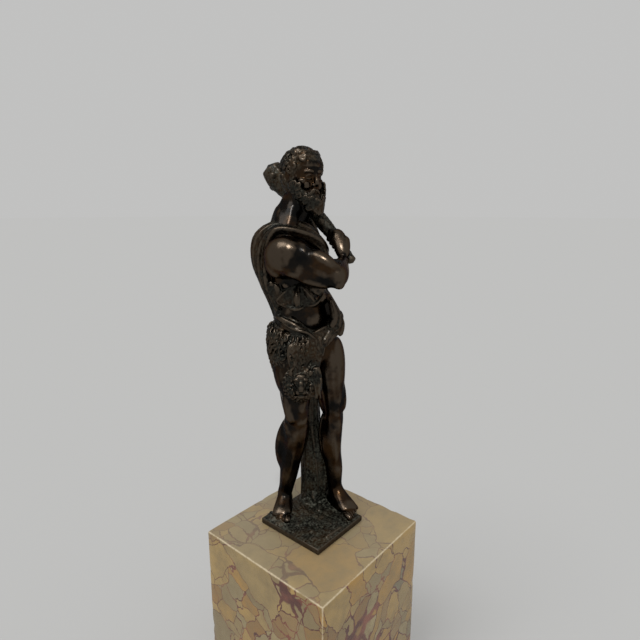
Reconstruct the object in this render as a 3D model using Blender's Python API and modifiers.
# A small bronze hero on a block of brecciated marble.
# Two solids: the bronze, cast in one with its club, lion skin, tree stump and square foot plate,
# and the marble block that it stands on.
import math

import bmesh
import bpy
from mathutils import Matrix, Vector
from mathutils.noise import noise

# Driving dimensions, in metres
BLOCK_WIDTH = 0.080
BLOCK_DEPTH = 0.080
BLOCK_HEIGHT = 0.100
BLOCK_EDGE_ROUND = 0.0008
FOOT_PLATE_WIDTH = 0.0370
FOOT_PLATE_DEPTH = 0.0405
FOOT_PLATE_THICKNESS = 0.0030
FOOT_PLATE_EDGE_ROUND = 0.0005
FOOT_PLATE_SHIFT_X = 0.0019
FOOT_PLATE_SHIFT_Y = 0.0029
SEAT_CLEARANCE = 0.0003
FIGURE_HEIGHT = 0.1925

# The figure is drawn on a canon of this many units from sole to crown
CANON = 192.5
CLAY_GRAIN = 0.62
BODY_SMOOTHING = 19
CLAY_SMOOTHING = 1
BRONZE_FACES = 9200

LEFT = 1
RIGHT = -1
UP = Vector((0, 0, 1))
PELVIS_FACING = 24
WAIST_FACING = 8
CHEST_FACING = -16
HEAD_FACING = 8
HEAD_NOD = 4


def heading(degrees):
    """The level direction that faces -Y, turned towards -X by so many degrees."""
    angle = math.radians(degrees)
    return Vector((-math.sin(angle), -math.cos(angle), 0))


def leftward(degrees):
    """The figure's own left when it faces that heading."""
    angle = math.radians(degrees)
    return Vector((math.cos(angle), -math.sin(angle), 0))


def curve_through(values, share):
    """A smooth value at a share of the way along a list of numbers or vectors."""
    spans = len(values) - 1
    place = min(max(share, 0.0), 1.0) * spans
    index = min(int(place), spans - 1)
    t = place - index
    start = values[index]
    end = values[index + 1]
    before = values[index - 1] if index > 0 else 2 * start - end
    after = values[index + 2] if index + 2 <= spans else 2 * end - start
    return 0.5 * (
        2 * start
        + (end - before) * t
        + (2 * before - 5 * start + 4 * end - after) * t * t
        + (3 * start - before - 3 * end + after) * t ** 3
    )


class Clay:
    """Closed forms gathered in one bmesh, to be fused into one body later."""

    def __init__(self):
        self.bm = bmesh.new()
        self.balls = {}

    def ball(self, around, rows):
        """A unit sphere with that many segments and rings, kept as the blank of every form."""
        if (around, rows) not in self.balls:
            blank = bmesh.new()
            bmesh.ops.create_uvsphere(blank, u_segments=around, v_segments=rows, radius=1)
            self.balls[(around, rows)] = bpy.data.meshes.new("ball")
            blank.to_mesh(self.balls[(around, rows)])
            blank.free()
        return self.balls[(around, rows)]

    def add(self, around, rows, place):
        """One more ball, with each of its points moved to where place says."""
        count = len(self.bm.verts)
        self.bm.from_mesh(self.ball(around, rows))
        self.bm.verts.ensure_lookup_table()
        for vertex in self.bm.verts[count:]:
            vertex.co = place(vertex.co)

    def limb(self, stations, side, blunt=4.0, around=14, rows=0):
        """A rounded form along stations of (point, half width, half depth).
        side is the direction of its width, one for all or one for each station."""
        centres = [Vector(station[0]) for station in stations]
        widths = [station[1] for station in stations]
        depths = [station[2] for station in stations]
        sides = [Vector(v) for v in side] if isinstance(side, list) else [Vector(side)] * 2
        rings = {}

        def ring(share):
            key = round(share, 5)
            if key not in rings:
                edge = max(0.0, 1 - abs(2 * share - 1) ** blunt) ** (1 / blunt)
                ahead = curve_through(centres, min(share + 0.02, 1))
                along = (ahead - curve_through(centres, max(share - 0.02, 0))).normalized()
                across = curve_through(sides, share)
                across = (across - along * across.dot(along)).normalized()
                width = edge * max(curve_through(widths, share), 0.05)
                depth = edge * max(curve_through(depths, share), 0.05)
                rings[key] = (curve_through(centres, share), across * width, along.cross(across) * depth)
            return rings[key]

        def place(point):
            share = math.acos(max(-1.0, min(1.0, point.z))) / math.pi
            flat = math.hypot(point.x, point.y) or 1.0
            centre, across, deep = ring(share)
            return centre + across * (point.x / flat) + deep * (point.y / flat)

        self.add(around, rows or max(8, 4 * len(stations)), place)

    def spindle(self, start, end, width, depth, side, bow=(0, 0, 0), blunt=2.2, around=12):
        """A muscle or lock from start to end, bowed out at its middle."""
        start = Vector(start)
        end = Vector(end)
        middle = (start + end) / 2 + Vector(bow)
        stations = [(start, width, depth), (middle, width, depth), (end, width, depth)]
        self.limb(stations, side, blunt, around, 10)

    def pebble(self, centre, radii, facing=0, around=12):
        """An ellipsoid of half sizes (across, front to back, upward), turned to a heading."""
        centre = Vector(centre)
        across = leftward(facing) * radii[0]
        deep = heading(facing) * -radii[1]
        high = UP * radii[2]
        self.add(around, 8, lambda p: centre + across * p.x + deep * p.y + high * p.z)


class Bone:
    """A straight stretch of the skeleton with its own front and outer side."""

    def __init__(self, start, end, front, sign=1, girth=1.0):
        self.girth = girth
        self.start = Vector(start)
        self.end = Vector(end)
        self.axis = (self.end - self.start).normalized()
        front = Vector(front)
        self.front = (front - self.axis * front.dot(self.axis)).normalized()
        self.side = (-self.axis).cross(self.front) * -sign

    def at(self, share, outer=0.0, front=0.0):
        """A point at a share of the length, so far out to the side and to the front."""
        return self.start.lerp(self.end, share) + (self.side * outer + self.front * front) * self.girth


# The skeleton: canon units from the centre of the foot plate's top, x to the figure's left
HIP = {LEFT: Vector((13.2, 1.0, 96)), RIGHT: Vector((-7.4, 8.6, 96))}
KNEE = {LEFT: Vector((16.2, -1.3, 55.6)), RIGHT: Vector((-6.4, 3.1, 57.5))}
ANKLE = {LEFT: Vector((18.7, -1.2, 8.5)), RIGHT: Vector((-2.0, 18.4, 8.5))}
KNEE_FACING = {LEFT: 14, RIGHT: 30}
FOOT_FACING = {LEFT: 15, RIGHT: 54}
LEG_GIRTH = {LEFT: 0.99, RIGHT: 1.14}
FOOT_SIZE = {LEFT: 1.0, RIGHT: 0.9}
CALF_FULLNESS = {LEFT: 1.0, RIGHT: 2.4}
LOWER_THIGH = {LEFT: 0.97, RIGHT: 0.91}
LOWER_SHIN = {LEFT: 1.26, RIGHT: 1.16}
PELVIS = Vector((3.2, 5.2, 97))
WAIST = Vector((2.8, 7.2, 115))
CHEST = Vector((0.4, 9.6, 138))
NECK = Vector((-2.2, 12.0, 154))
SKULL = Vector((2.6, 6.4, 179.6))
SHOULDER = {LEFT: Vector((17.6, 15.4, 145.5)), RIGHT: Vector((-16.0, 2.4, 143.5))}
ELBOW = {LEFT: Vector((29.0, 19.0, 117.5)), RIGHT: Vector((-7.8, -21.8, 133.2))}
WRIST = {LEFT: Vector((20.5, 1.5, 111)), RIGHT: Vector((11.6, -10.6, 139.6))}


def legs(clay):
    for sign in (LEFT, RIGHT):
        front = heading(KNEE_FACING[sign])
        girth = LEG_GIRTH[sign]
        low_girth = girth * LOWER_THIGH[sign]
        thin_girth = girth * LOWER_SHIN[sign]
        thigh = Bone(HIP[sign], KNEE[sign], front, sign, girth)
        shin = Bone(KNEE[sign], ANKLE[sign], front, sign, girth)
        side = thigh.side

        def muscle(start, end, width, depth, bow=(0, 0, 0)):
            clay.spindle(start, end, width * girth, depth * girth, side, bow)

        clay.limb([
            (thigh.at(-0.10, 0.0, -0.5), 9.6 * girth, 10.6),
            (thigh.at(0.18, 0.4, 0.0), 9.2 * girth, 10.6),
            (thigh.at(0.42, 0.4, 0.4), 8.2 * girth, 9.4),
            (thigh.at(0.66, 0.2, 0.4), 7.0 * low_girth, 7.9 * low_girth),
            (thigh.at(0.86, 0, 0.2), 6.1 * low_girth, 6.7 * low_girth),
            (thigh.at(1.12, 0, -0.2), 5.5 * low_girth, 5.7 * low_girth),
        ], side)
        # Front, outer and inner heads of the thigh, adductors, the two cords behind, the kneecap
        muscle(thigh.at(0.05, 0, 5.0), thigh.at(0.92, 0, 4.2), 4.4, 3.9)
        muscle(thigh.at(0.12, 4.2, 1.5), thigh.at(0.88, 2.5, 1.8), 4.0, 4.2)
        muscle(thigh.at(0.46, -3.4, 3.2), thigh.at(1.01, -3.9, 2.8), 3.4, 3.6)
        muscle(thigh.at(0.02, -4.6, -0.5), thigh.at(0.66, -3.0, -0.5), 4.6, 5.4)
        muscle(thigh.at(0.08, 3.0, -5.2), thigh.at(1.04, 3.4, -3.2), 3.4, 3.2)
        muscle(thigh.at(0.08, -2.6, -5.0), thigh.at(1.04, -3.2, -3.2), 3.2, 3.0)
        muscle(thigh.at(0.84, 0, 3.6), thigh.at(1.05, 0, 3.8), 3.2, 1.9)
        muscle(thigh.at(0.98, 0, 3.2), shin.at(0.22, 0, 3.0), 2.6, 2.2)
        muscle(thigh.at(0.90, 0, 0.4), shin.at(0.20, 0, 0.6), 4.8, 4.6)
        muscle(thigh.at(0.84, -3.6, 0.4), shin.at(0.24, -3.0, 0.4), 2.6, 3.6)
        muscle(thigh.at(0.84, 2.6, 0.2), shin.at(0.24, 2.6, 0.2), 2.5, 3.4)
        clay.limb([
            (shin.at(-0.18, 0, 0.2), 5.5 * low_girth, 5.6 * low_girth),
            (shin.at(0.12, 0, -0.5), 5.7 * girth, 6.2 * girth),
            (shin.at(0.30, 0.3, -2.2), 5.8 * girth, 6.8 * girth),
            (shin.at(0.50, 0.3, -2.0), 5.2 * girth, 5.9 * girth),
            (shin.at(0.70, 0.2, -0.5), 3.8 * thin_girth, 4.2 * thin_girth),
            (shin.at(0.88, 0.2, -0.2), 3.2 * thin_girth, 3.6 * thin_girth),
            (shin.at(0.98, 0.1, 0), 3.1 * thin_girth, 3.6 * thin_girth),
            (shin.at(1.08, 0, 0.6), 2.6 * thin_girth, 3.2 * thin_girth),
        ], side)
        # Both heads of the calf, its lower sheet, the shin's muscle and edge, the heel cord, the ankle bones
        full = CALF_FULLNESS[sign]
        muscle(shin.at(-0.04, -2.6, -3.0), shin.at(0.72, -1.8, -2.6), 4.0, 4.0,
               (side * -0.8 - front * 0.8) * full)
        muscle(shin.at(-0.04, 2.7, -3.0), shin.at(0.68, 2.2, -2.6), 4.0, 4.0,
               (side * 0.8 - front * 0.8) * full)
        muscle(shin.at(0.06, 0, -2.0), shin.at(0.60, 0, -1.6), 4.6, 4.6,
               (side * 0.3 - front * 0.5) * full)
        muscle(shin.at(0.28, 0, -3.0), shin.at(0.90, 0, -2.2), 3.4, 3.0)
        muscle(shin.at(0.06, 2.2, 2.6), shin.at(0.78, 0.8, 2.0), 2.5, 2.5)
        muscle(shin.at(0.04, -0.8, 3.6), shin.at(0.90, -0.4, 2.5), 1.4, 1.5)
        muscle(shin.at(0.66, 0, -3.0), shin.at(1.12, 0, -4.2), 1.4, 1.6)
        clay.pebble(shin.at(0.97, -2.9, 0.3), (1.4, 1.8, 2.2), FOOT_FACING[sign])
        clay.pebble(shin.at(1.00, 2.9, -0.6), (1.4, 1.8, 2.3), FOOT_FACING[sign])


def feet(clay):
    for sign in (LEFT, RIGHT):
        ahead = heading(FOOT_FACING[sign])
        out = leftward(FOOT_FACING[sign]) * sign
        sole = ANKLE[sign].copy()
        sole.z = 0

        def at(forward, outer, height):
            return sole + (ahead * forward + out * outer + UP * height) * FOOT_SIZE[sign]

        clay.pebble(at(-4.4, 0, 3.4), (4.0, 4.2, 4.2), FOOT_FACING[sign])
        clay.limb([
            (at(-1.6, 0, 21.0), 2.0, 2.2),
            (at(-1.0, 0, 15.0), 3.0, 3.4),
            (at(-0.2, 0, 10.6), 3.7, 4.1),
            (at(2.6, 0, 7.4), 4.2, 4.2),
            (at(7.5, 0.2, 4.9), 4.9, 3.4),
            (at(12.5, 0.3, 3.2), 5.6, 2.5),
            (at(15.6, 0.2, 2.2), 5.3, 1.7),
        ], out)
        clay.limb([(at(-5, 1.6, 2.2), 2.7, 2.1), (at(4, 3.4, 2.0), 2.4, 2.0),
                   (at(11.5, 4.4, 1.9), 2.1, 1.9)], out)
        clay.limb([(at(-4, -1.6, 2.4), 2.5, 2.3), (at(12.0, -3.2, 2.6), 2.6, 2.5)], out)


def toes(clay):
    for sign in (LEFT, RIGHT):
        ahead = heading(FOOT_FACING[sign])
        out = leftward(FOOT_FACING[sign]) * sign
        sole = Vector((ANKLE[sign].x, ANKLE[sign].y, 0))
        for toe in range(5):
            thick = 1.9 if toe == 0 else 1.35 - 0.06 * toe
            path = []
            for forward, side, height, share in ((13.4 - 0.75 * toe, -3.7 + 2.1 * toe, 2.2, 1.0),
                                                 (16.6 - 1.05 * toe, -3.9 + 2.2 * toe, 2.5, 0.9),
                                                 (19.6 - 1.30 * toe, -3.8 + 2.15 * toe, 1.3, 0.95)):
                place = sole + (ahead * forward + out * side + UP * height) * FOOT_SIZE[sign]
                path.append((place, thick * share, thick * share))
            clay.limb(path, out, 3.0, 9, 10)


def torso(clay):
    def station(centre, facing, width, depth):
        return (centre, width, depth), leftward(facing)

    spine = [
        station(PELVIS + UP * -13, PELVIS_FACING, 12.0, 9.0),
        station(PELVIS + UP * -5, PELVIS_FACING, 15.8, 11.0),
        station(PELVIS + UP * 3, PELVIS_FACING, 15.8, 11.0),
        station(PELVIS.lerp(WAIST, 0.6), 16, 14.0, 10.2),
        station(WAIST + UP * 2, WAIST_FACING, 13.4, 9.6),
        station(WAIST.lerp(CHEST, 0.38), 0, 14.2, 10.4),
        station(WAIST.lerp(CHEST, 0.72), -9, 15.6, 11.8),
        station(CHEST, CHEST_FACING, 16.8, 12.4),
        station(CHEST + Vector((-0.6, 0.4, 7)), CHEST_FACING, 16.0, 11.0),
        station(CHEST + Vector((-1.2, 1.2, 13)), CHEST_FACING, 11.5, 8.4),
    ]
    clay.limb([s[0] for s in spine], [s[1] for s in spine], 3.2, 22)
    front = heading(CHEST_FACING)
    hip_front = heading(PELVIS_FACING)
    for sign in (LEFT, RIGHT):
        left = leftward(CHEST_FACING) * sign
        hip_left = leftward(PELVIS_FACING) * sign
        # Chest, back and flank
        reach = 1.0 if sign == RIGHT else 0.62
        clay.spindle(CHEST + left * 1.8 + front * (6.8 + 2.8 * reach) + UP * 1.0,
                     SHOULDER[sign] + front * (4.8 * reach - 1.8) - left * (5.5 - 3.0 * reach),
                     7.0, 4.4, UP, front * (3.0 * reach) - UP * 1.4)
        clay.spindle(CHEST + left * 12 - front * 5 + UP * 2, WAIST + left * 10 - front * 2.5, 4.6, 5.2,
                     left)
        clay.spindle(CHEST + left * 4 - front * 9.4 + UP * 9, CHEST + left * 13 - front * 7.2 - UP * 5,
                     6.4, 4.0, left)
        clay.spindle(WAIST + left * 3.6 - front * 6.8 - UP * 8, CHEST + left * 3.4 - front * 9.6, 3.3,
                     3.3, left)
        clay.spindle(WAIST + hip_left * 9.8 + hip_front * 2.5 + UP * 8,
                     PELVIS + hip_left * 12.6 + hip_front * 2.6 + UP * 8, 4.0, 6.2, hip_left)
        # Edge of the ribs and seat
        clay.spindle(CHEST + left * 2.5 + front * 10 - UP * 9, CHEST + left * 12 + front * 5 - UP * 14,
                     3.0, 3.4, front)
        for rib in range(3):
            clay.spindle(CHEST + left * 13.4 + front * (5.4 - rib) - UP * (2 + 4.4 * rib),
                         CHEST + left * 14.4 - front * 1.0 - UP * (0.5 + 4.4 * rib), 1.7, 2.2, UP)
        clay.spindle(PELVIS + hip_left * 8 - hip_front * 7.0 + UP * 6,
                     PELVIS + hip_left * 7.6 - hip_front * 8.0 - UP * 12, 8.0, 7.2, hip_left)
        # Neck to shoulder, and the cord from behind the ear to the breastbone
        clay.spindle(NECK + UP * 12 + left * 2.0 - front * 1.5,
                     SHOULDER[sign] - left * 2.0 - front * 3.0 + UP * 4.0,
                     5.2, 4.6, front, UP * -1.6)
        clay.limb([
            (NECK + UP * 12 + left * 1.0 - front * 0.8, 5.2, 6.0),
            (NECK + UP * 4 + left * 3.0 - front * 1.4, 5.8, 6.4),
            (NECK - UP * 3 + left * 6.5 - front * 1.8, 6.2, 6.6),
            (NECK - UP * 9 + left * 9.6 - front * 2.0, 6.0, 6.4),
        ], left, 4.0)
        clay.spindle(SKULL + left * 2.5 - front * 6 - UP * 7, CHEST + left * 6 - front * 8 + UP * 8, 4.4,
                     4.2, left)
        clay.spindle(SKULL + left * 3.0 - front * 3.5 - UP * 11, CHEST + left * 11 - front * 5 + UP * 7,
                     4.8, 5.0, front, UP * -1.0)
        clay.pebble(CHEST + left * 9 - front * 6 + UP * 6, (7.6, 5.4, 6.0), CHEST_FACING)
        clay.spindle(NECK + front * 6.8 + left * 1.6 - UP * 0.5,
                     SKULL + left * 7.0 - front * 1.0 - UP * 8, 2.2, 2.4, front)
    clay.limb([
        (NECK - front * 3.0 + UP * 2, 8.0, 5.0),
        (CHEST - front * 8.6 + UP * 8, 12.0, 4.6),
        (CHEST - front * 9.6 - UP * 6, 12.0, 4.0),
        (WAIST - heading(WAIST_FACING) * 6.6, 11.0, 3.6),
    ], leftward(CHEST_FACING), 3.2, 16)
    # Three steps of the belly each side of the middle line, and the lower belly
    for step, share in enumerate((0.84, 0.54, 0.24)):
        centre = WAIST.lerp(CHEST, share)
        facing = WAIST_FACING + (CHEST_FACING - WAIST_FACING) * share
        for sign in (LEFT, RIGHT):
            clay.pebble(centre + heading(facing) * (9.6 + 0.3 * step) + leftward(facing) * (3.1 * sign),
                        (3.3, 2.4, 3.3), facing)
    clay.pebble(PELVIS.lerp(WAIST, 0.66) + heading(13) * 6.0, (8.8, 5.0, 7.6), 13, 16)
    clay.pebble(PELVIS + hip_front * 9.4 - UP * 9.0, (3.0, 2.6, 3.6), PELVIS_FACING)
    clay.pebble((4.4, 6.6, 149.0), (5.2, 5.2, 6.4), CHEST_FACING)
    clay.limb([
        (NECK + Vector((0.2, -2.2, 14)), 4.2, 5.0),
        (NECK + Vector((-3.0, -3.8, 5)), 5.4, 5.8),
        (NECK + Vector((-6.6, -4.6, -2)), 6.0, 6.4),
        (NECK + Vector((-9.0, -4.8, -9)), 6.4, 6.6),
    ], leftward(49.6), 4.0, 16)
    clay.limb([
        (NECK + Vector((0, 0.5, -6)), 9.4, 9.0),
        (NECK + Vector((0, 0, 2)), 7.8, 8.2),
        (NECK.lerp(SKULL, 0.42), 7.0, 7.6),
        (SKULL + Vector((0, 1.5, -7)), 6.8, 7.4),
    ], leftward(0))


def right_arm(clay):
    """The right arm: raised forward across the chest and folded, its hand at the club."""
    upper = Bone(SHOULDER[RIGHT], ELBOW[RIGHT], UP)
    fore = Bone(ELBOW[RIGHT], WRIST[RIGHT], UP)
    clay.limb([
        (upper.at(-0.14), 6.6, 7.2),
        (upper.at(0.12, 0, 0.2), 6.6, 7.8),
        (upper.at(0.40, 0, 0.2), 5.8, 7.0),
        (upper.at(0.72, 0, -0.2), 5.0, 5.8),
        (upper.at(1.00, 0, 0.2), 4.8, 4.8),
    ], upper.side)
    outer = heading(CHEST_FACING + 90)
    clay.spindle(SHOULDER[RIGHT] + outer * 1.2 + Vector((1.6, 5.0, 4.4)),
                 upper.at(0.56, 0, 1.0) + outer * 2.2, 7.4, 5.2, UP)
    clay.spindle(SHOULDER[RIGHT] + outer * 0.6 + Vector((0, 7.0, -1.0)),
                 upper.at(0.46, 0, -4.0) + outer * 1.4, 6.4, 5.0, UP)
    clay.spindle(SHOULDER[RIGHT] - outer * 3.0 + Vector((1.0, -1.0, 4.4)),
                 upper.at(0.44, 0, 2.2) - outer * 1.8, 5.4, 5.0, UP)
    clay.pebble(SHOULDER[RIGHT] + Vector((-1.2, 3.0, -3.0)), (6.4, 7.0, 9.0), CHEST_FACING)
    clay.pebble(SHOULDER[RIGHT] + Vector((-1.6, -1.4, -0.6)), (7.0, 10.4, 8.6), CHEST_FACING)
    clay.spindle(SHOULDER[RIGHT] + outer * 3.0 + Vector((0, 2.0, -2.0)),
                 upper.at(0.60, 0, -1.0) + outer * 3.0, 6.6, 4.0, UP)
    clay.pebble(ELBOW[RIGHT] + Vector((0.6, 2.2, 1.6)), (5.2, 5.2, 6.2))
    clay.spindle(upper.at(0.30, 0, 3.6), upper.at(1.0, 0, 2.8), 4.2, 4.2, upper.side, upper.front * 1.4)
    clay.spindle(upper.at(0.10, 0, -5.6), upper.at(1.0, 0, -3.4), 5.0, 4.4, upper.side)
    clay.limb([
        (fore.at(-0.16), 4.6, 4.6),
        (fore.at(0.12), 5.4, 5.6),
        (fore.at(0.40), 4.9, 5.0),
        (fore.at(0.74), 3.7, 3.7),
        (fore.at(1.06), 3.3, 3.0),
    ], fore.side)
    clay.spindle(upper.at(0.70, 0, 1.6), fore.at(0.60, 1.6, 1.4), 3.4, 3.4, UP)
    clay.spindle(fore.at(-0.06, 0, -1.6), fore.at(0.70, 0, -1.4), 3.4, 3.4, fore.side)
    clay.pebble(ELBOW[RIGHT] + upper.axis * 1.6 - UP * 1.8, (2.8, 2.8, 2.8))


LEFT_PALM = Vector((-4.6, -4.6, -3.4))


def left_arm(clay):
    """The left arm: bent behind the far flank, its hand lying on the hip over the skin."""
    upper = Bone(SHOULDER[LEFT], ELBOW[LEFT], heading(CHEST_FACING))
    fore = Bone(ELBOW[LEFT], WRIST[LEFT], UP)
    clay.limb([
        (upper.at(-0.12), 6.4, 7.0),
        (upper.at(0.18, 0.2, 0), 6.2, 7.2),
        (upper.at(0.50, 0.2, 0), 5.2, 6.0),
        (upper.at(0.80), 4.4, 5.0),
        (upper.at(1.05), 4.2, 4.4),
    ], upper.side)
    outer = heading(CHEST_FACING - 90)
    clay.spindle(SHOULDER[LEFT] + Vector((-1.5, -0.5, 5.6)), upper.at(0.52) + outer * 2.6, 5.4, 6.8,
                 upper.front)
    clay.spindle(upper.at(0.28, 0, 3.4), upper.at(0.98, 0, 2.4), 3.8, 3.4, upper.side)
    clay.spindle(upper.at(0.12, 0, -3.6), upper.at(0.96, 0, -2.6), 4.0, 3.5, upper.side)
    clay.limb([
        (fore.at(-0.14), 4.1, 4.1),
        (fore.at(0.18), 4.6, 4.9),
        (fore.at(0.55), 4.0, 4.1),
        (fore.at(1.05), 2.9, 3.1),
    ], fore.side)
    clay.pebble(ELBOW[LEFT] + upper.axis * 2.6, (2.4, 2.4, 2.4))
    palm = WRIST[LEFT] + LEFT_PALM
    clay.limb([(WRIST[LEFT], 3.2, 2.4), (WRIST[LEFT].lerp(palm, 0.5), 4.0, 2.5), (palm, 3.9, 2.0)],
              Vector((0.3, -0.4, 1)), 3.0)


def left_fingers(clay):
    palm = WRIST[LEFT] + LEFT_PALM
    for finger in range(4):
        root = palm + Vector((0.6, 0.6, 2.8 - 1.9 * finger))
        bend = root + Vector((-2.8, -2.4, -0.6))
        tip = bend + Vector((-3.2 + 0.3 * finger, -1.2, -1.6))
        clay.limb([(root, 1.25, 1.25), (bend, 1.2, 1.2), (tip, 1.0, 1.0)], UP, 3.0, 8, 8)


CLUB_PATH = [
    Vector((16.8, -12.8, 137.6)),
    Vector((16.8, -9.2, 141.6)),
    Vector((16.7, -4.2, 146.6)),
    Vector((15.9, 2.2, 153.6)),
    Vector((14.2, 9.3, 160.6)),
    Vector((10.6, 19.4, 169.6)),
    Vector((6.6, 27.2, 178.4)),
    Vector((3.4, 31.8, 185.6)),
]
CLUB_RADII = [2.9, 2.3, 2.7, 3.5, 4.0, 4.7, 6.4, 6.0]


def club(clay):
    clay.limb([(p, r, r) for p, r in zip(CLUB_PATH, CLUB_RADII)], leftward(0), 6.0, 12, 30)
    # Stumps of cut branches
    for share, turn in ((0.60, 0.4), (0.70, 2.6), (0.80, 4.4), (0.86, 1.2), (0.92, 5.4), (0.50, 3.4),
                        (0.90, 3.0)):
        centre = curve_through(CLUB_PATH, share)
        radius = curve_through(CLUB_RADII, share)
        along = (curve_through(CLUB_PATH, share + 0.02) - centre).normalized()
        first = along.cross(UP).normalized()
        out = first * math.cos(turn) + along.cross(first) * math.sin(turn)
        clay.spindle(centre + out * radius * 0.4, centre + out * (radius + 1.2) - along * 0.6, 1.8, 1.8,
                     along, blunt=3.0, around=8)


def right_hand(clay):
    """A fist about the club's handle, seen from its back."""
    grip = curve_through(CLUB_PATH, 0.30)
    along = (curve_through(CLUB_PATH, 0.36) - curve_through(CLUB_PATH, 0.24)).normalized()
    inward = WRIST[RIGHT] - grip
    inward = (inward - along * inward.dot(along)).normalized()
    back = inward.cross(along).normalized()
    if back.dot(heading(50)) < 0:
        back = -back
    clay.limb([
        (WRIST[RIGHT], 3.3, 2.9),
        (WRIST[RIGHT].lerp(grip, 0.5) + back * 1.8 + along * 0.6, 4.2, 2.9),
        (grip + back * 3.0 + along * 1.2, 4.9, 2.5),
        (grip + back * 2.4 - inward * 3.0 + along * 1.2, 4.7, 2.0),
    ], along, 3.0)
    for finger in range(4):
        place = grip + along * (4.9 - 2.4 * finger)
        path = []
        for step in range(5):
            turn = math.radians(24 + 50 * step)
            direction = back * math.cos(turn) - inward * math.sin(turn)
            path.append((place + direction * (4.0 - 0.16 * step), 1.32, 1.32))
        clay.limb(path, along, 3.0, 8, 14)
    clay.limb([
        (WRIST[RIGHT] + along * 1.6, 1.9, 1.9),
        (grip + along * 5.0 + inward * 2.6 + back * 1.2, 1.6, 1.6),
        (grip + along * 7.2 - inward * 0.8 + back * 2.4, 1.4, 1.4),
    ], along, 3.0, 8, 10)


class Head:
    """A frame of the head: left, front and up from the middle of the skull."""

    def __init__(self, clay):
        nod = math.radians(HEAD_NOD)
        ahead = heading(HEAD_FACING)
        self.clay = clay
        self.across = leftward(HEAD_FACING)
        self.front = ahead * math.cos(nod) - UP * math.sin(nod)
        self.up = UP * math.cos(nod) + ahead * math.sin(nod)

    def at(self, left, front, up):
        return SKULL + self.across * left + self.front * front + self.up * up

    def blob(self, left, front, up, wide, deep, high, around=12):
        self.clay.add(around, 8, lambda p: self.at(left + p.x * wide, front - p.y * deep,
                                                   up + p.z * high))


def head(clay):
    head = Head(clay)
    head.blob(0, -0.8, 1.2, 8.3, 9.4, 9.2, 18)
    head.blob(0, 2.2, -5.0, 6.8, 6.6, 8.2, 16)
    head.blob(0, 5.8, -9.6, 4.6, 3.8, 3.8)
    for side in (LEFT, RIGHT):
        head.blob(3.2 * side, 7.5, 1.0, 2.9, 1.5, 0.9)
        head.blob(4.3 * side, 5.9, -4.0, 2.4, 2.4, 2.0)
        head.blob(3.0 * side, 6.6, -1.2, 1.7, 1.4, 1.1)
        head.blob(8.3 * side, -1.0, -2.4, 1.2, 1.8, 2.8)
        head.blob(1.3 * side, 8.7, -4.7, 0.95, 1.2, 0.85)
    clay.spindle(head.at(0, 7.5, 1.0), head.at(0, 10.0, -5.0), 1.3, 1.6, head.across, head.front * 0.4)
    head.blob(0, 9.4, -4.6, 1.2, 1.4, 1.05)
    head.blob(0, 8.2, -8.4, 2.2, 1.0, 0.75)


def hair(clay):
    """A close cap of curls, with two rows of forelocks along the brow."""
    head = Head(clay)
    head.blob(0, -2.4, 2.6, 9.4, 9.6, 9.6, 18)
    for number in range(96):
        rise = 1 - 1.66 * (number + 0.5) / 96
        turn = number * 2.39996
        level = math.sqrt(max(0.0, 1 - rise * rise))
        left = 9.6 * level * math.sin(turn)
        front = -2.0 + 10.4 * level * math.cos(turn)
        up = 2.4 + 9.7 * rise
        if front > 3.6 and up < 7.4:
            continue
        if front > 0.6 and up < -1.0:
            continue
        head.blob(left, front, up, 2.0, 2.0, 1.9, 8)
    for count, up, front, reach in ((6, 8.0, 6.4, 7.0), (5, 6.4, 7.6, 5.6)):
        for number in range(count):
            share = (number + 0.5) / count * 2 - 1
            head.blob(reach * share, front - 3.4 * share * share, up + 0.3 * share * share, 1.6, 1.5,
                      1.5, 8)


def beard(clay):
    """A full square beard from the ears round the jaw, with a moustache."""
    head = Head(clay)
    for side in (LEFT, RIGHT):
        for step in range(6):
            share = step / 5
            head.blob(side * (7.8 - 4.8 * share), 1.2 + 6.4 * share, -5.2 - 6.2 * share, 2.6, 3.0, 3.6)
        clay.spindle(head.at(0.4 * side, 9.4, -6.7), head.at(4.2 * side, 7.0, -9.2), 1.4, 1.4, head.up)
        head.blob(2.6 * side, 8.4, -14.0, 3.0, 3.4, 3.4)
    head.blob(0, 8.0, -12.4, 5.6, 4.6, 4.4)
    for number in range(64):
        share = ((number * 0.618034) % 1.0) * 2 - 1
        level = (number + 0.5) / 64
        reach = 1 - 0.34 * level
        left = 9.0 * share * reach
        front = 12.0 - 8.8 * abs(share) ** 1.8 * (1 - 0.3 * level) + 0.2 * level
        up = -9.0 - 8.0 * level * (1 - 0.3 * abs(share))
        if abs(share) > 0.8:
            up = -3.0 - 8.0 * level
            front -= 0.8
        head.blob(left, front + 0.4, up, 1.5, 1.7, 1.8, 8)


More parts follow.
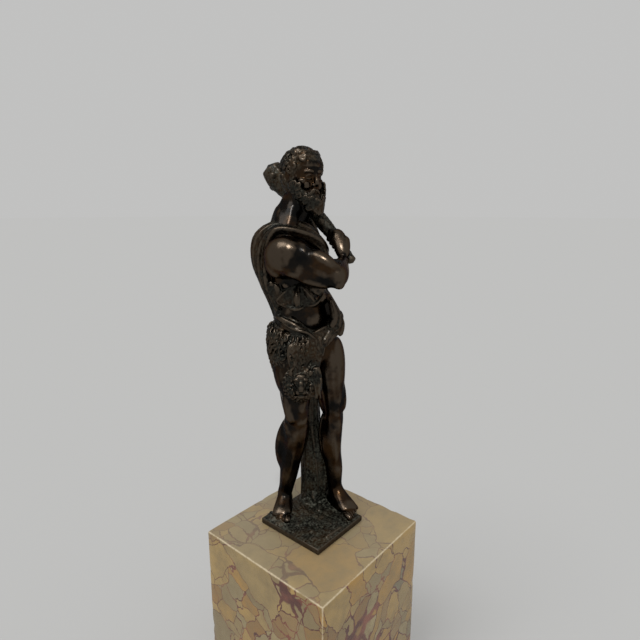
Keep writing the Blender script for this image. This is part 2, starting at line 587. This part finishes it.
def shoulder_cloth(clay):
    """The cloth that lies over the right shoulder, crosses the breast and falls down the back."""
    front = heading(CHEST_FACING)
    left = leftward(CHEST_FACING)

    def at(out, ahead, rise):
        return CHEST - left * out + front * ahead + UP * rise

    # The rolled edge: from the left armpit up over the right shoulder, down behind it to the waist
    roll = [
        Vector((14.6, 4.6, 138.6)),
        Vector((8.6, -0.4, 143.2)),
        Vector((1.4, -2.2, 148.4)),
        Vector((-7.5, 1.6, 153.2)),
        Vector((-13.8, 8.6, 154.4)),
        Vector((-17.6, 14.8, 149.0)),
        Vector((-18.0, 16.8, 140.0)),
        Vector((-15.4, 15.6, 128.6)),
        Vector((-11.4, 13.2, 118.0)),
        Vector((-9.2, 11.0, 109.0)),
    ]
    widths = [3.0, 3.4, 3.8, 4.2, 4.6, 4.8, 4.4, 3.8, 3.4, 3.0]
    outs = [front, front, front + UP, front + UP, UP - left * 0.4, UP * 0.4 - left, -left,
            -left - front * 0.5,
            -left - front * 0.5, -left - front * 0.5]
    outs = [out.normalized() for out in outs]
    sides = []
    for index, out in enumerate(outs):
        along = (roll[min(index + 1, 9)] - roll[max(index - 1, 0)]).normalized()
        sides.append(along.cross(out).normalized())
    clay.limb([(p, w, 2.2) for p, w in zip(roll, widths)], sides, 6.0, 14, 40)
    for strand in range(4):
        path = []
        for index, point in enumerate(roll):
            sway = math.sin(0.9 * index + 1.6 * strand)
            shift = (strand - 1.5) / 1.5 * 0.72 + 0.16 * sway
            path.append((point + sides[index] * (widths[index] * shift)
                         + outs[index] * (1.3 + 0.5 * sway), 1.35, 1.5))
        clay.limb(path, sides, 6.0, 8, 40)
    # The flat strip round the base of the neck
    strip = [Vector((-12.0, 10.4, 156.4)), Vector((-7.2, 4.6, 156.4)), Vector((-0.6, 0.6, 153.4)),
             Vector((5.2, 0.8, 149.2)),
             Vector((10.4, 2.2, 144.2))]
    lean = [(UP * 0.4 + left + front * 0.4).normalized()] * 2 + [(UP + left * 0.6).normalized()] * 3
    clay.limb([(p, 3.2, 1.5) for p in strip], lean, 6.0, 14, 20)
    # Its narrow end over the far shoulder, beside the club
    strap = [Vector((4.6, 12.0, 160.0)), Vector((7.0, 7.8, 157.4)), Vector((7.0, 4.8, 153.6)),
             Vector((6.4, 2.4, 150.2)),
             Vector((5.4, 0.6, 147.0))]
    clay.limb([(p, 2.3, 1.6) for p in strap], leftward(49.6), 5.0, 12, 20)
    # The cloth down the back
    for step in range(5):
        out = 9.0 - 5.0 * step
        clay.limb([
            (at(out, -11.4, 11 - step * 2.2), 3.4, 1.8),
            (at(out * 1.02, -13.2, -3), 3.4, 2.0),
            (WAIST - leftward(WAIST_FACING) * (out * 0.9) - heading(WAIST_FACING) * 9.8 - UP * 6, 3.3,
             2.6),
        ], left, 5.0, 12)
        clay.limb([
            (at(out + 1.6, -12.6, 9 - step * 2.2), 1.0, 1.4),
            (at(out * 1.02 + 1.6, -14.6, -3), 1.1, 1.6),
            (WAIST - leftward(WAIST_FACING) * (out * 0.9 + 1.6) - heading(WAIST_FACING) * 11.2 - UP * 5,
             1.0, 1.5),
        ], left, 5.0, 8)
    # A bunch gathered under the right arm: broad folds with sharp ridges, joined by a wavy hem
    knot = Vector((-8.6, 0.4, 129.0))
    clay.pebble(Vector((-5.4, 3.2, 124.0)), (9.0, 6.2, 4.8), 50, 16)
    hem = []
    for tip, wide, lift in (
            (Vector((-15.0, 8.6, 120.2)), 3.0, 0.3), (Vector((-13.4, 3.0, 118.0)), 3.2, -0.2),
            (Vector((-11.2, -1.0, 117.2)), 2.0, 2.2), (Vector((-8.2, -3.2, 118.6)), 3.2, -0.2),
            (Vector((-4.0, -5.6, 119.4)), 2.2, 1.4), (Vector((1.4, -7.2, 124.2)), 3.0, 0.2)):
        outward = (tip - Vector((2, 8, tip.z))).normalized()
        across = outward.cross(tip - knot)
        ridge = knot.lerp(tip, 0.5) + outward * (1.0 + lift)
        clay.limb([(knot, 1.0, 0.8), (ridge, wide * 0.8, 1.2), (tip, wide, 1.0)], across, 3.6, 10, 16)
        if lift > 0.2:
            crest = [(knot + outward * 0.6, 0.7, 0.7), (ridge + outward * 1.0, 0.8, 0.9),
                     (tip + outward * 0.7, 0.8, 0.8)]
            clay.limb(crest, across, 4.0, 8, 14)
        hem.append((tip + outward * (0.2 + 0.6 * lift), 0.9, 0.9))
    clay.limb(hem, UP, 6.0, 8, 40)
    # A flap between the bunch and the cloth behind the arm
    for step in range(3):
        clay.spindle(Vector((-17.4 + 0.8 * step, 13.6 - 2.4 * step, 131.0 - step)),
                     Vector((-11.8 - 0.4 * step, 11.4 - 2.2 * step, 115.6 + step)), 1.9, 1.5, front,
                     blunt=3.4)


# Height of each roll of the belt above the pelvis at turns round the hips, from back to back
BELT_ROLLS = (
    (((-180, 16.4), (-115, 17.4), (-56, 12.8), (-24, 8.0), (-14, 4.4), (-3, 2.5), (8, 3.0), (18, 5.4),
      (30, 8.6), (60, 12),
      (110, 15), (180, 16.4)), 2.2, 1.7),
    (((-180, 19.0), (-115, 20.0), (-56, 14.6), (-30, 9.8), (-12, 8.0), (6, 8.4), (22, 9.4), (40, 13),
      (80, 16), (180, 19.0)),
     0.7, 1.4),
    (((-180, 13.6), (-115, 14.0), (-60, 9.6), (-26, 5.8), (-12, 3.6), (0, 4.8), (12, 6.0), (24, 7.6),
      (60, 9.5), (110, 12),
      (180, 13.6)), 1.2, 1.5),
    (((-24, 7.4), (-14, 6.4), (-2, 6.0), (10, 6.6), (24, 9.0)), 1.2, 1.2),
    (((-4, 0.4), (8, 0.2), (20, 1.6), (34, 4.2), (52, 6.4), (80, 9.5)), 0.9, 1.4),
)


def height_at(line, turn):
    """The height of a roll at a turn, between the turns it is given for."""
    for (start, low), (end, high) in zip(line, line[1:]):
        if turn <= end:
            share = (turn - start) / (end - start)
            return low + (high - low) * share
    return line[-1][1]


def belt_point(turn_degrees, rise, out):
    """A point of the belt: round the hips from the front, so far above the pelvis and out from the body."""
    turn = math.radians(turn_degrees)
    narrow = max(0.0, rise - 3) * 0.14
    deep = 11.8 - 0.5 * narrow + out
    wide = 15.8 - narrow + out
    radius = 1.0 / math.sqrt((math.cos(turn) / deep) ** 2 + (math.sin(turn) / wide) ** 2)
    direction = heading(PELVIS_FACING) * math.cos(turn) + leftward(PELVIS_FACING) * math.sin(turn)
    return PELVIS + direction * radius + UP * rise


def belt(clay):
    """Rolled folds round the hips that dip in front, and the puff of cloth on the left hip."""
    for line, out, thick in BELT_ROLLS:
        first = line[0][0]
        span = line[-1][0] - first
        steps = max(8, int(span / 10))
        turns = [first + span * step / steps for step in range(steps + 1)]
        clay.limb([(belt_point(t, height_at(line, t), out), thick, thick) for t in turns], UP, 14.0, 10,
                  2 * steps + 12)
        strand = []
        for t in turns:
            twist = math.radians(4 * t + 60 * out)
            strand.append((belt_point(t, height_at(line, t) + thick * 0.8 * math.sin(twist),
                                      out + thick * (0.7 + 0.3 * math.cos(twist))),
                           0.8, 0.8))
        clay.limb(strand, UP, 14.0, 8, 2 * steps + 12)
    # The puff: folds that run down from the left flank and turn under
    for number, (top, low) in enumerate((
            (Vector((7.6, -5.4, 120.0)), Vector((3.4, -9.6, 106.4))),
            (Vector((9.4, -4.6, 120.6)), Vector((7.4, -9.6, 103.6))),
            (Vector((11.6, -3.0, 120.0)), Vector((11.2, -9.4, 100.6))),
            (Vector((14.0, -0.6, 118.0)), Vector((14.6, -7.0, 100.4))),
            (Vector((16.0, 2.6, 116.0)), Vector((17.6, -3.4, 100.8))))):
        middle = top.lerp(low, 0.62) + heading(-30) * 1.5 + leftward(0) * 0.8
        clay.limb([(top, 1.3, 1.5), (middle, 1.9, 2.1), (low, 1.6, 1.6)], leftward(0), 3.6, 10, 14)


def skin_point(turn_degrees, drop, out):
    """A point of the hanging skin: round the hips from the front, so far down and out."""
    turn = math.radians(turn_degrees)
    direction = heading(PELVIS_FACING) * math.cos(turn) + leftward(PELVIS_FACING) * math.sin(turn)
    out += 2.2 * math.sin(math.pi * min(max(drop, 0.0) / 26, 1.15)) - 1.6
    radius = 1.0 / math.sqrt((math.cos(turn) / (12.6 + out)) ** 2 + (math.sin(turn) / (17.8 + out)) ** 2)
    top = min(height_at(BELT_ROLLS[2][0], turn_degrees if turn_degrees > -180 else turn_degrees + 360)
              - 0.6, 12.5)
    return PELVIS + direction * radius + UP * (max(top, 8) - drop)


def skin_length(turn_degrees):
    """How far the skin hangs below the belt at a turn round the hips."""
    hang = 25 + 7 * math.exp(-((turn_degrees + 46) / 30) ** 2) + 4 * math.exp(-((turn_degrees
                                                                                 + 170) / 30) ** 2)
    return hang - 16 * max(0.0, (turn_degrees + 26) / 30)


def thigh_point(turn_degrees, share, out):
    """A point round the right thigh: from its front towards its outer side, at a share of its length."""
    thigh = Bone(HIP[RIGHT], KNEE[RIGHT], heading(KNEE_FACING[RIGHT]), RIGHT)
    turn = math.radians(turn_degrees)
    reach = 11.6 - 6.0 * share + out
    return thigh.at(share, math.sin(turn) * reach, math.cos(turn) * reach + 0.6)


def lion_skin(clay):
    """The pelt over the right hip, thigh and seat: broad tongues covered with locks."""
    for turn in range(-214, 0, 22):
        length = skin_length(turn)
        angle = math.radians(turn)
        side = leftward(PELVIS_FACING) * math.cos(angle) - heading(PELVIS_FACING) * math.sin(angle)
        clay.limb([(skin_point(turn, length * s / 4, 0.2 - 0.07 * length * s / 4), 5.4 - 0.3 * s, 2.4)
                   for s in range(5)],
                  side, 4.0, 12)
    for turn in range(-4, 150, 20):
        low = 0.40 - 0.0006 * abs(turn - 70)
        across = thigh_point(turn + 5, 0.2, 0) - thigh_point(turn - 5, 0.2, 0)
        tongue = [(thigh_point(turn, low * s / 4 - 0.10, 0.4 - 1.8 * (1 - s / 4) ** 2), 3.6, 1.8)
                  for s in range(5)]
        clay.limb(tongue, across, 2.4, 12)
    for number in range(130):
        turn = -216 + 214 * ((number * 0.618034) % 1.0)
        drop = 2 + (skin_length(turn) - 4) * (number + 0.5) / 130
        sway = 4 * math.sin(number * 1.7)
        clay.spindle(skin_point(turn, drop, 2.2 - 0.07 * drop),
                     skin_point(turn + sway, drop + 5.8, 3.8 - 0.07 * drop), 1.6, 1.6,
                     leftward(PELVIS_FACING), blunt=2.0, around=8)
    for number in range(60):
        turn = -8 + 158 * ((number * 0.618034) % 1.0)
        share = 0.36 * (number + 0.5) / 60
        clay.spindle(thigh_point(turn, share, 1.6),
                     thigh_point(turn + 4 * math.sin(number * 1.7), share + 0.12, 2.6), 1.6, 1.5,
                     leftward(PELVIS_FACING), blunt=2.0, around=8)


MASK = Vector((-12.6, -4.2, 80.6))
MASK_SIZE = 0.86
MASK_FACING = 46


def lion_mask(clay):
    """The lion's head that hangs on the right thigh, and the paw beside it."""
    ahead = heading(MASK_FACING)
    left = leftward(MASK_FACING)

    def part(out, front, rise, wide, deep, high):
        centre = MASK + (left * out + ahead * front + UP * rise) * MASK_SIZE
        clay.pebble(centre, (wide * MASK_SIZE, deep * MASK_SIZE, high * MASK_SIZE), MASK_FACING, 10)

    part(0, -2.5, 1.5, 8.2, 5.0, 9.5)
    part(0, 1.6, 2.0, 4.8, 3.6, 5.0)
    part(0, 3.6, -2.4, 3.1, 3.0, 2.7)
    part(0, 5.6, -0.8, 1.6, 1.3, 1.1)
    part(0, 3.2, -6.2, 2.5, 2.2, 1.5)
    for side in (LEFT, RIGHT):
        part(3.5 * side, 3.4, 4.6, 2.1, 1.4, 1.3)
        part(2.1 * side, 4.2, -2.8, 1.8, 1.8, 1.7)
        part(6.2 * side, 0.6, 7.4, 1.8, 1.6, 2.1)
        for lock in range(5):
            part((7.4 - 0.5 * lock) * side, 0.2, 4.8 - 3.2 * lock, 1.9, 2.1, 2.5)
    part(0, -0.5, -9.0, 4.6, 2.6, 2.8)
    for number in range(22):
        turn = math.radians(360 / 22 * number)
        reach = 8.6 if number % 2 else 7.2
        part(reach * math.sin(turn), -0.6 if number % 2 else 0.6, 0.8 + (reach + 1.6) * math.cos(turn),
             1.7, 1.9, 2.0)
    clay.limb([
        (MASK + left * 7.0 - ahead * 1.5 + UP * 9, 2.8, 2.4),
        (MASK + left * 8.4 + UP * 1, 2.3, 2.2),
        (MASK + left * 8.0 + ahead * 1.0 - UP * 5.6, 2.1, 2.0),
    ], left)


STUMP_FOOT = Vector((12.8, 11.4, 0))


def stump(clay):
    """The tree stump that stands behind the legs and carries the hips."""
    across = Vector((0.6485, -0.7612, 0))
    clay.limb([
        (STUMP_FOOT + across * 1.2 - UP * 1.5, 8.6, 5.8),
        (STUMP_FOOT + across * 1.6 + UP * 4, 7.6, 4.8),
        (STUMP_FOOT + across * 1.5 + UP * 20, 7.2, 4.2),
        (STUMP_FOOT + across * 0.4 + UP * 38, 6.0, 4.0),
        (STUMP_FOOT - across * 0.8 + UP * 50, 5.2, 4.0),
        (STUMP_FOOT - across * 0.8 + UP * 66, 5.0, 4.2),
        (STUMP_FOOT - across * 0.4 + UP * 86, 5.2, 4.4),
    ], across, 6.0)
    clay.spindle(STUMP_FOOT + across * 3.4 + UP * 4, STUMP_FOOT + across * 2.0 + UP * 40, 2.6, 2.6,
                 across)
    clay.spindle(STUMP_FOOT - across * 3.8 + UP * 8, STUMP_FOOT - across * 3.2 + UP * 60, 2.2, 2.4,
                 across)
    for number in range(5):
        turn = math.radians(72 * number + 20)
        out = Vector((math.cos(turn), math.sin(turn), 0))
        clay.spindle(STUMP_FOOT + out * 2.8 + UP * 8, STUMP_FOOT + out * 7.0, 2.0, 1.8, out.cross(UP),
                     blunt=2.6)


def ground(clay, half_x, half_y):
    """Rough earth on the plate: low lumps that stop short of its edges."""
    steps = 6
    for i in range(steps):
        for j in range(steps):
            x = (2 * (i + 0.5) / steps - 1) * (half_x - 1.8)
            y = (2 * (j + 0.5) / steps - 1) * (half_y - 1.8)
            height = max(0.5, 1.0 + 0.7 * noise(Vector((x * 0.16, y * 0.16, 3.0))) + 0.05 * y)
            clay.pebble((x, y, -0.6), (half_x / steps * 1.35, half_y / steps * 1.35, height + 0.6), 0, 10)
    clay.pebble((10, 12, -1.0), (9.5, 8.0, 4.2), 20)
    clay.pebble((-3, 15.0, -1.0), (8.4, 5.2, 3.0), 20)
    clay.pebble((-12.4, 16.4, -0.8), (4.6, 3.4, 2.8), 20)
    clay.limb([((4.4, 13.6, 1.2), 1.3, 1.3), ((1.2, 6.0, 1.0), 1.0, 1.1), ((-2.4, -2.4, 0.6), 0.8, 0.9)],
              UP, 4.0, 8)
    clay.limb([((-9.8, -17.2, 0.4), 1.0, 1.0), ((-3.0, -18.0, 0.7), 1.1, 1.1),
               ((3.4, -18.2, 0.4), 0.9, 1.0)], UP, 4.0, 8)


def outer_shell(bm):
    """Deletes every loose island except the largest: sealed pockets left inside the clay."""
    bm.verts.index_update()
    seen = set()
    islands = []
    for start in bm.verts:
        if start.index in seen:
            continue
        island = [start]
        seen.add(start.index)
        for vertex in island:
            for edge in vertex.link_edges:
                other = edge.other_vert(vertex)
                if other.index not in seen:
                    seen.add(other.index)
                    island.append(other)
        islands.append(island)
    islands.sort(key=len)
    for island in islands[:-1]:
        bmesh.ops.delete(bm, geom=island, context="VERTS")


def evaluated_mesh(obj):
    """The object's mesh as its modifiers leave it."""
    graph = bpy.context.evaluated_depsgraph_get()
    return bpy.data.meshes.new_from_object(obj.evaluated_get(graph))


def fused(bm, rounds):
    """The forms of a bmesh as one skin, smoothed that many times."""
    mesh = bpy.data.meshes.new("clay")
    bm.to_mesh(mesh)
    bm.free()
    made = bpy.data.objects.new("clay", mesh)
    bpy.context.scene.collection.objects.link(made)
    remesh = made.modifiers.new("fuse", "REMESH")
    remesh.mode = "VOXEL"
    remesh.voxel_size = CLAY_GRAIN
    smooth = made.modifiers.new("finger", "SMOOTH")
    smooth.factor = 0.5
    smooth.iterations = round(rounds)
    skin = evaluated_mesh(made)
    bpy.data.objects.remove(made)
    return skin


def modelled_clay(plate_size):
    """Every form of the figure and its ground, in canon units. The body is fused and smoothed first,
    so that its muscles run into each other, and the sharper forms are laid on it."""
    body = Clay()
    for form in (legs, feet, torso, right_arm, left_arm):
        form(body)
    clay = Clay()
    clay.bm.from_mesh(fused(body.bm, BODY_SMOOTHING))
    for form in (toes, left_fingers, right_hand, head, hair, beard, club, shoulder_cloth, belt,
                 lion_skin, lion_mask, stump):
        form(clay)
    ground(clay, plate_size.x / 2, plate_size.y / 2)
    # A slab that carries the forms down into the plate
    size = (plate_size.x - 2.0, plate_size.y - 2.0, 2.9)
    slab = bmesh.ops.create_cube(clay.bm, size=1)
    bmesh.ops.scale(clay.bm, vec=size, verts=slab["verts"])
    bmesh.ops.translate(clay.bm, vec=(0, 0, -1.55), verts=slab["verts"])
    return clay


def bronze_figure(collection):
    """The clay fused into one body, cut level at the plate and thinned."""
    scale = FIGURE_HEIGHT / CANON
    plate_size = Vector((FOOT_PLATE_WIDTH, FOOT_PLATE_DEPTH, FOOT_PLATE_THICKNESS)) / scale
    skin = fused(modelled_clay(plate_size).bm, CLAY_SMOOTHING)
    bm = bmesh.new()
    bm.from_mesh(skin)
    outer_shell(bm)
    # Only what stands above the middle of the plate is kept
    cut = bmesh.ops.bisect_plane(bm, geom=bm.verts[:] + bm.edges[:] + bm.faces[:], dist=1e-5,
                                 plane_co=(0, 0, -1.5), plane_no=(0, 0, -1), clear_outer=True)
    rim = [item for item in cut["geom_cut"] if isinstance(item, bmesh.types.BMEdge)]
    bmesh.ops.contextual_create(bm, geom=rim)
    seat = Vector((FOOT_PLATE_SHIFT_X, FOOT_PLATE_SHIFT_Y,
                   BLOCK_HEIGHT + SEAT_CLEARANCE + FOOT_PLATE_THICKNESS))
    bmesh.ops.transform(bm, matrix=Matrix.Translation(seat) @ Matrix.Scale(scale, 4), verts=bm.verts)
    bmesh.ops.triangulate(bm, faces=bm.faces)
    skin.clear_geometry()
    bm.to_mesh(skin)
    bm.free()
    figure = bpy.data.objects.new("hercules", skin)
    collection.objects.link(figure)
    thin = figure.modifiers.new("thin", "DECIMATE")
    thin.ratio = min(1.0, BRONZE_FACES / len(skin.polygons))
    return figure


def box(collection, name, size, centre, edge_round):
    """A block with its scale applied and its edges rounded."""
    bpy.ops.mesh.primitive_cube_add(size=1, location=centre)
    made = bpy.context.object
    made.name = name
    made.scale = size
    bpy.ops.object.transform_apply(location=False, rotation=False, scale=True)
    bevel = made.modifiers.new("edges", "BEVEL")
    bevel.width = edge_round
    bevel.segments = 2
    for old in made.users_collection:
        old.objects.unlink(made)
    collection.objects.link(made)
    return made


def material(name, colour, roughness, metallic):
    made = bpy.data.materials.new(name)
    made.use_nodes = True
    shader = made.node_tree.nodes["Principled BSDF"]
    shader.inputs["Base Color"].default_value = (*colour, 1)
    shader.inputs["Roughness"].default_value = roughness
    shader.inputs["Metallic"].default_value = metallic
    return made


def main():
    for obj in list(bpy.data.objects):
        bpy.data.objects.remove(obj)
    parts = bpy.data.collections.new("hercules_statuette")
    helpers = bpy.data.collections.new("helpers")
    bpy.context.scene.collection.children.link(parts)
    bpy.context.scene.collection.children.link(helpers)
    block = box(parts, "marble_plinth", (BLOCK_WIDTH, BLOCK_DEPTH, BLOCK_HEIGHT),
                (0, 0, BLOCK_HEIGHT / 2),
                BLOCK_EDGE_ROUND)
    block.data.materials.append(material("breccia_marble", (0.55, 0.46, 0.32), 0.35, 0.0))
    middle = BLOCK_HEIGHT + SEAT_CLEARANCE + FOOT_PLATE_THICKNESS / 2
    plate = box(helpers, "foot_plate", (FOOT_PLATE_WIDTH, FOOT_PLATE_DEPTH, FOOT_PLATE_THICKNESS),
                (FOOT_PLATE_SHIFT_X, FOOT_PLATE_SHIFT_Y, middle), FOOT_PLATE_EDGE_ROUND)
    plate.hide_render = True
    plate.display_type = "WIRE"
    figure = bronze_figure(parts)
    join = figure.modifiers.new("plate", "BOOLEAN")
    join.operation = "UNION"
    join.object = plate
    figure.data.materials.append(material("dark_bronze", (0.09, 0.065, 0.045), 0.35, 1.0))
    figure.data.shade_smooth()




main()
